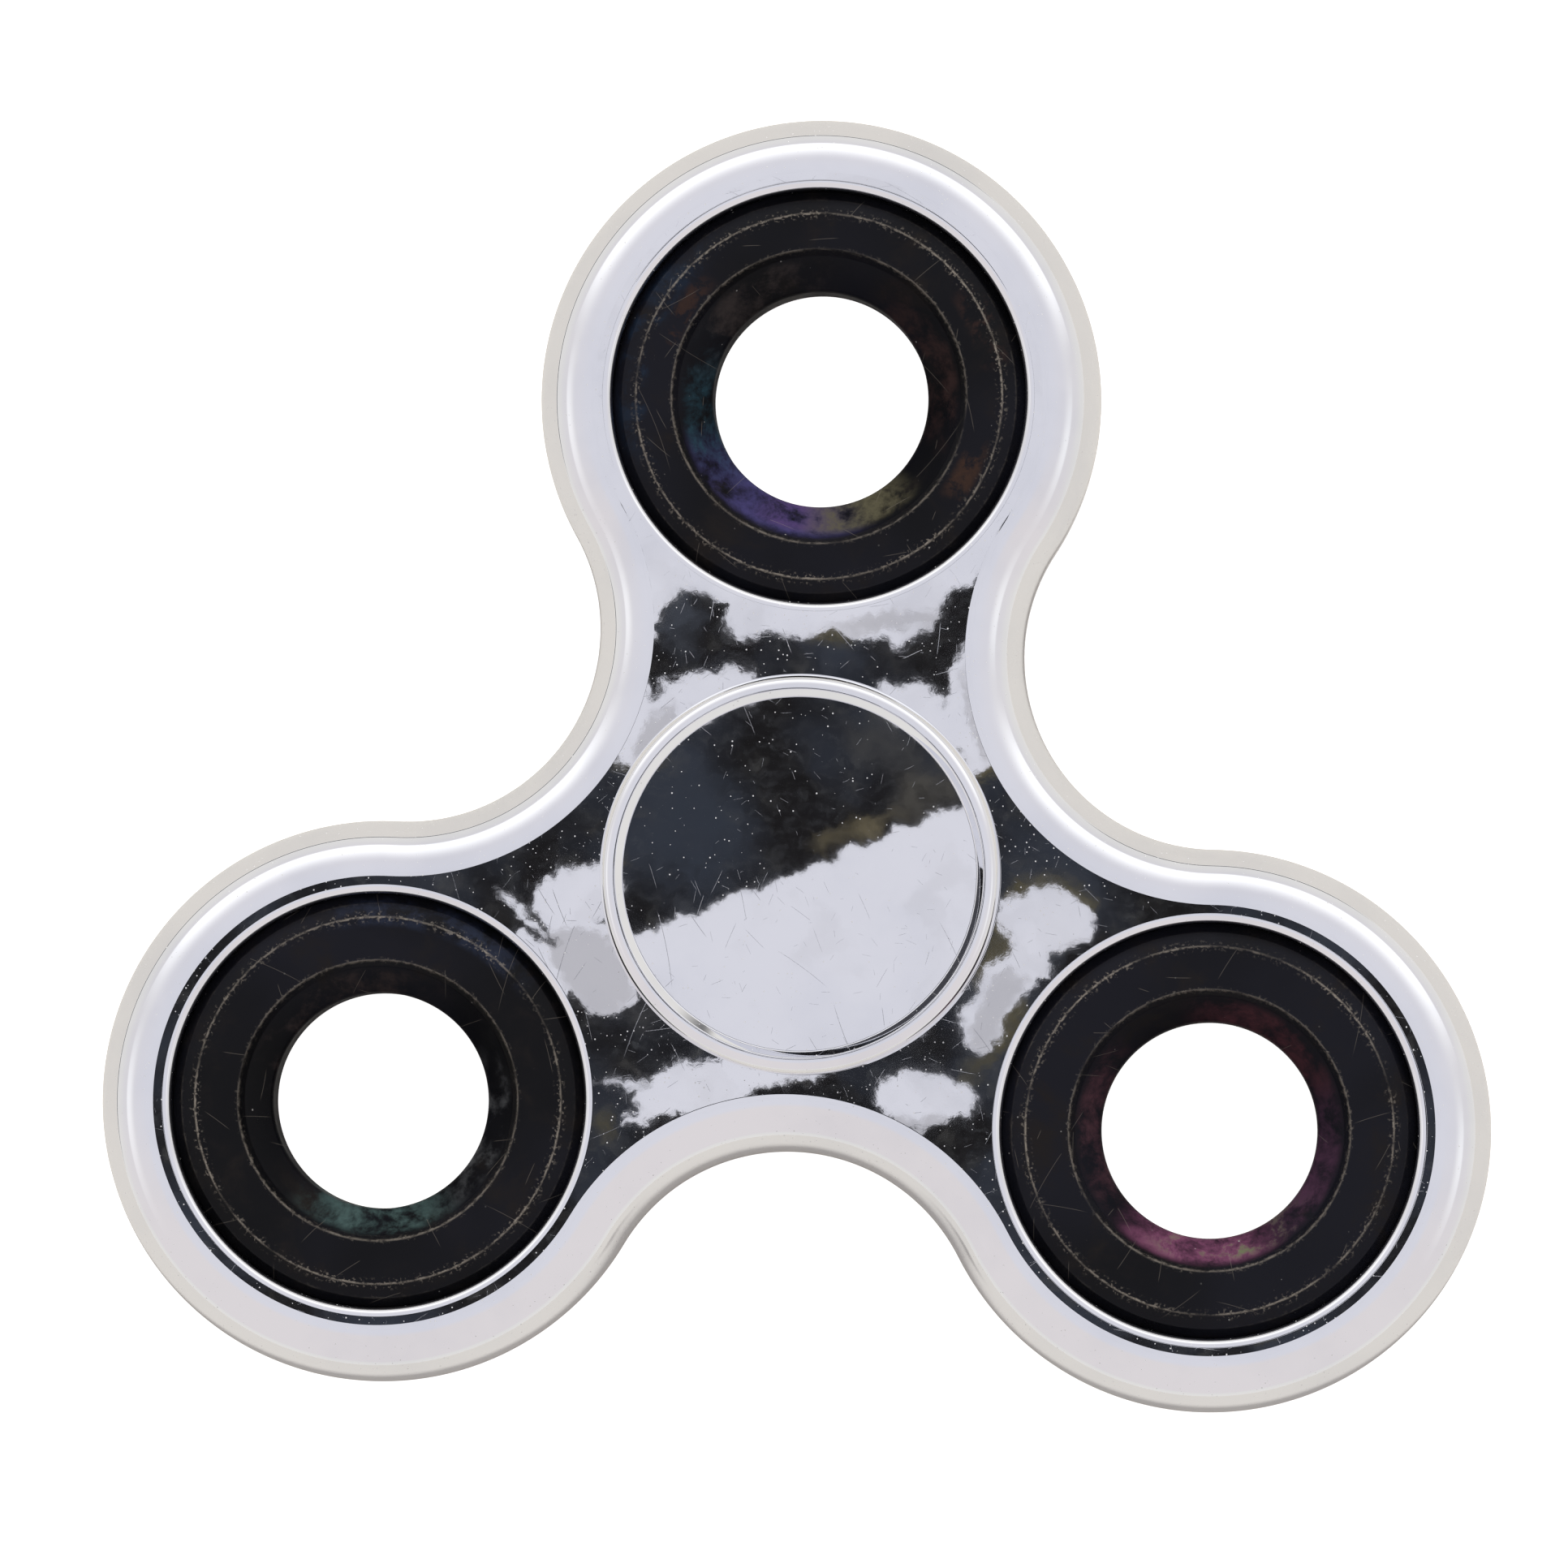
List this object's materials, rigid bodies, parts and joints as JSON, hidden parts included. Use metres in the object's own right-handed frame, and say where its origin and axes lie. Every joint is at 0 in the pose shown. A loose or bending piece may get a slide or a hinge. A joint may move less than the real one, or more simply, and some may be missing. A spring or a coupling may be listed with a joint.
{
  "type": "fidget spinner",
  "caption": "Three-lobed hand spinner with ring weights in its lobes, turning on a ball bearing between two finger caps.",
  "frame": {"origin": "centre of the hub bearing, on the spin axis, halfway through the thickness", "axes": "+Z along the spin axis through the upper cap; +Y from the hub to the first lobe"},
  "size_m": [0.0742, 0.0682, 0.0126],
  "materials": {
    "body_chrome": "polished",
    "cap_chrome": "polished",
    "weight_black": "satin",
    "bearing_steel": "polished",
    "ball_steel": "polished",
    "cage_steel": "satin",
    "shield_steel": "satin"
  },
  "bodies": {
    "hub": {"cap_upper": "cap_chrome", "cap_lower": "cap_chrome", "bearing_inner_ring": "bearing_steel"},
    "rotor": {"body": "body_chrome", "weight_1": "weight_black", "weight_2": "weight_black", "weight_3": "weight_black", "bearing_outer_ring": "bearing_steel", "shield_upper": "shield_steel", "shield_lower": "shield_steel"},
    "cage": {"cage_upper": "cage_steel", "cage_lower": "cage_steel", "cage_rivets": "cage_steel"},
    "ball_1": {"ball_1": "ball_steel"},
    "ball_2": {"ball_2": "ball_steel"},
    "ball_3": {"ball_3": "ball_steel"},
    "ball_4": {"ball_4": "ball_steel"},
    "ball_5": {"ball_5": "ball_steel"},
    "ball_6": {"ball_6": "ball_steel"},
    "ball_7": {"ball_7": "ball_steel"}
  },
  "joints": [
    {"name": "body_spin", "type": "hinge", "parent": "hub", "child": "rotor", "pos_m": [0, 0, 0], "axis": [0, 0, 1], "continuous": true},
    {"name": "cage_orbit", "type": "hinge", "parent": "hub", "child": "cage", "pos_m": [0, 0, 0], "axis": [0, 0, 1], "continuous": true},
    {"name": "ball_1_roll", "type": "hinge", "parent": "cage", "child": "ball_1", "pos_m": [0.0075, 0, 0], "axis": [0, 0, 1], "continuous": true},
    {"name": "ball_2_roll", "type": "hinge", "parent": "cage", "child": "ball_2", "pos_m": [0.00468, 0.00586, 0], "axis": [0, 0, 1], "continuous": true},
    {"name": "ball_3_roll", "type": "hinge", "parent": "cage", "child": "ball_3", "pos_m": [-0.00167, 0.00731, 0], "axis": [0, 0, 1], "continuous": true},
    {"name": "ball_4_roll", "type": "hinge", "parent": "cage", "child": "ball_4", "pos_m": [-0.00676, 0.00325, 0], "axis": [0, 0, 1], "continuous": true},
    {"name": "ball_5_roll", "type": "hinge", "parent": "cage", "child": "ball_5", "pos_m": [-0.00676, -0.00325, 0], "axis": [0, 0, 1], "continuous": true},
    {"name": "ball_6_roll", "type": "hinge", "parent": "cage", "child": "ball_6", "pos_m": [-0.00167, -0.00731, 0], "axis": [0, 0, 1], "continuous": true},
    {"name": "ball_7_roll", "type": "hinge", "parent": "cage", "child": "ball_7", "pos_m": [0.00468, -0.00586, 0], "axis": [0, 0, 1], "continuous": true}
  ],
  "couplings": [
    {"joint": "cage_orbit", "follows": "body_spin", "ratio": 0.6323},
    {"joint": "ball_1_roll", "follows": "body_spin", "ratio": 1.7573},
    {"joint": "ball_2_roll", "follows": "body_spin", "ratio": 1.7573},
    {"joint": "ball_3_roll", "follows": "body_spin", "ratio": 1.7573},
    {"joint": "ball_4_roll", "follows": "body_spin", "ratio": 1.7573},
    {"joint": "ball_5_roll", "follows": "body_spin", "ratio": 1.7573},
    {"joint": "ball_6_roll", "follows": "body_spin", "ratio": 1.7573},
    {"joint": "ball_7_roll", "follows": "body_spin", "ratio": 1.7573}
  ]
}
